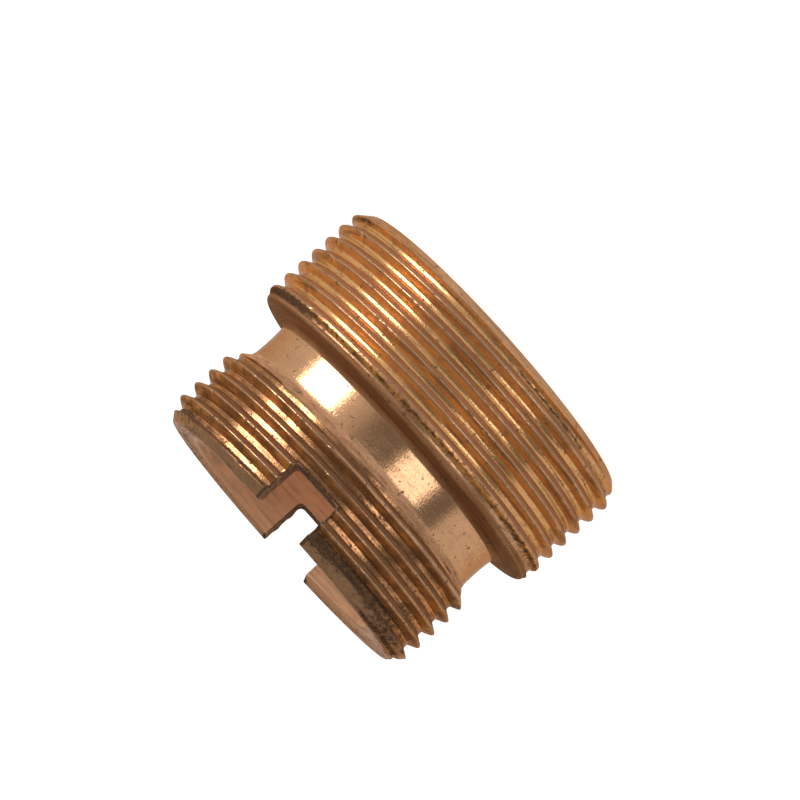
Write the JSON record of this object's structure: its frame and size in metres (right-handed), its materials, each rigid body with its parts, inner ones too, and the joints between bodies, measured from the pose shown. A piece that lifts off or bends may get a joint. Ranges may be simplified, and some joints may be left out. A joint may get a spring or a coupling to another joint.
{
  "type": "threaded adapter fitting",
  "caption": "Ring-shaped metal pipe adapter with a large male thread, a smooth neck, and a smaller male thread whose end has a driving slot.",
  "frame": {"origin": "centre of the flat face at the large thread's end, on which the fitting stands", "axes": "+Z along the bore from the large thread to the small thread; +Y along the driving slot in the small end; +X across the slot"},
  "size_m": [0.047, 0.047, 0.0342],
  "materials": {
    "bronze": "turned, worn and tarnished"
  },
  "bodies": {
    "root": {"fitting_body": "bronze"}
  },
  "joints": []
}
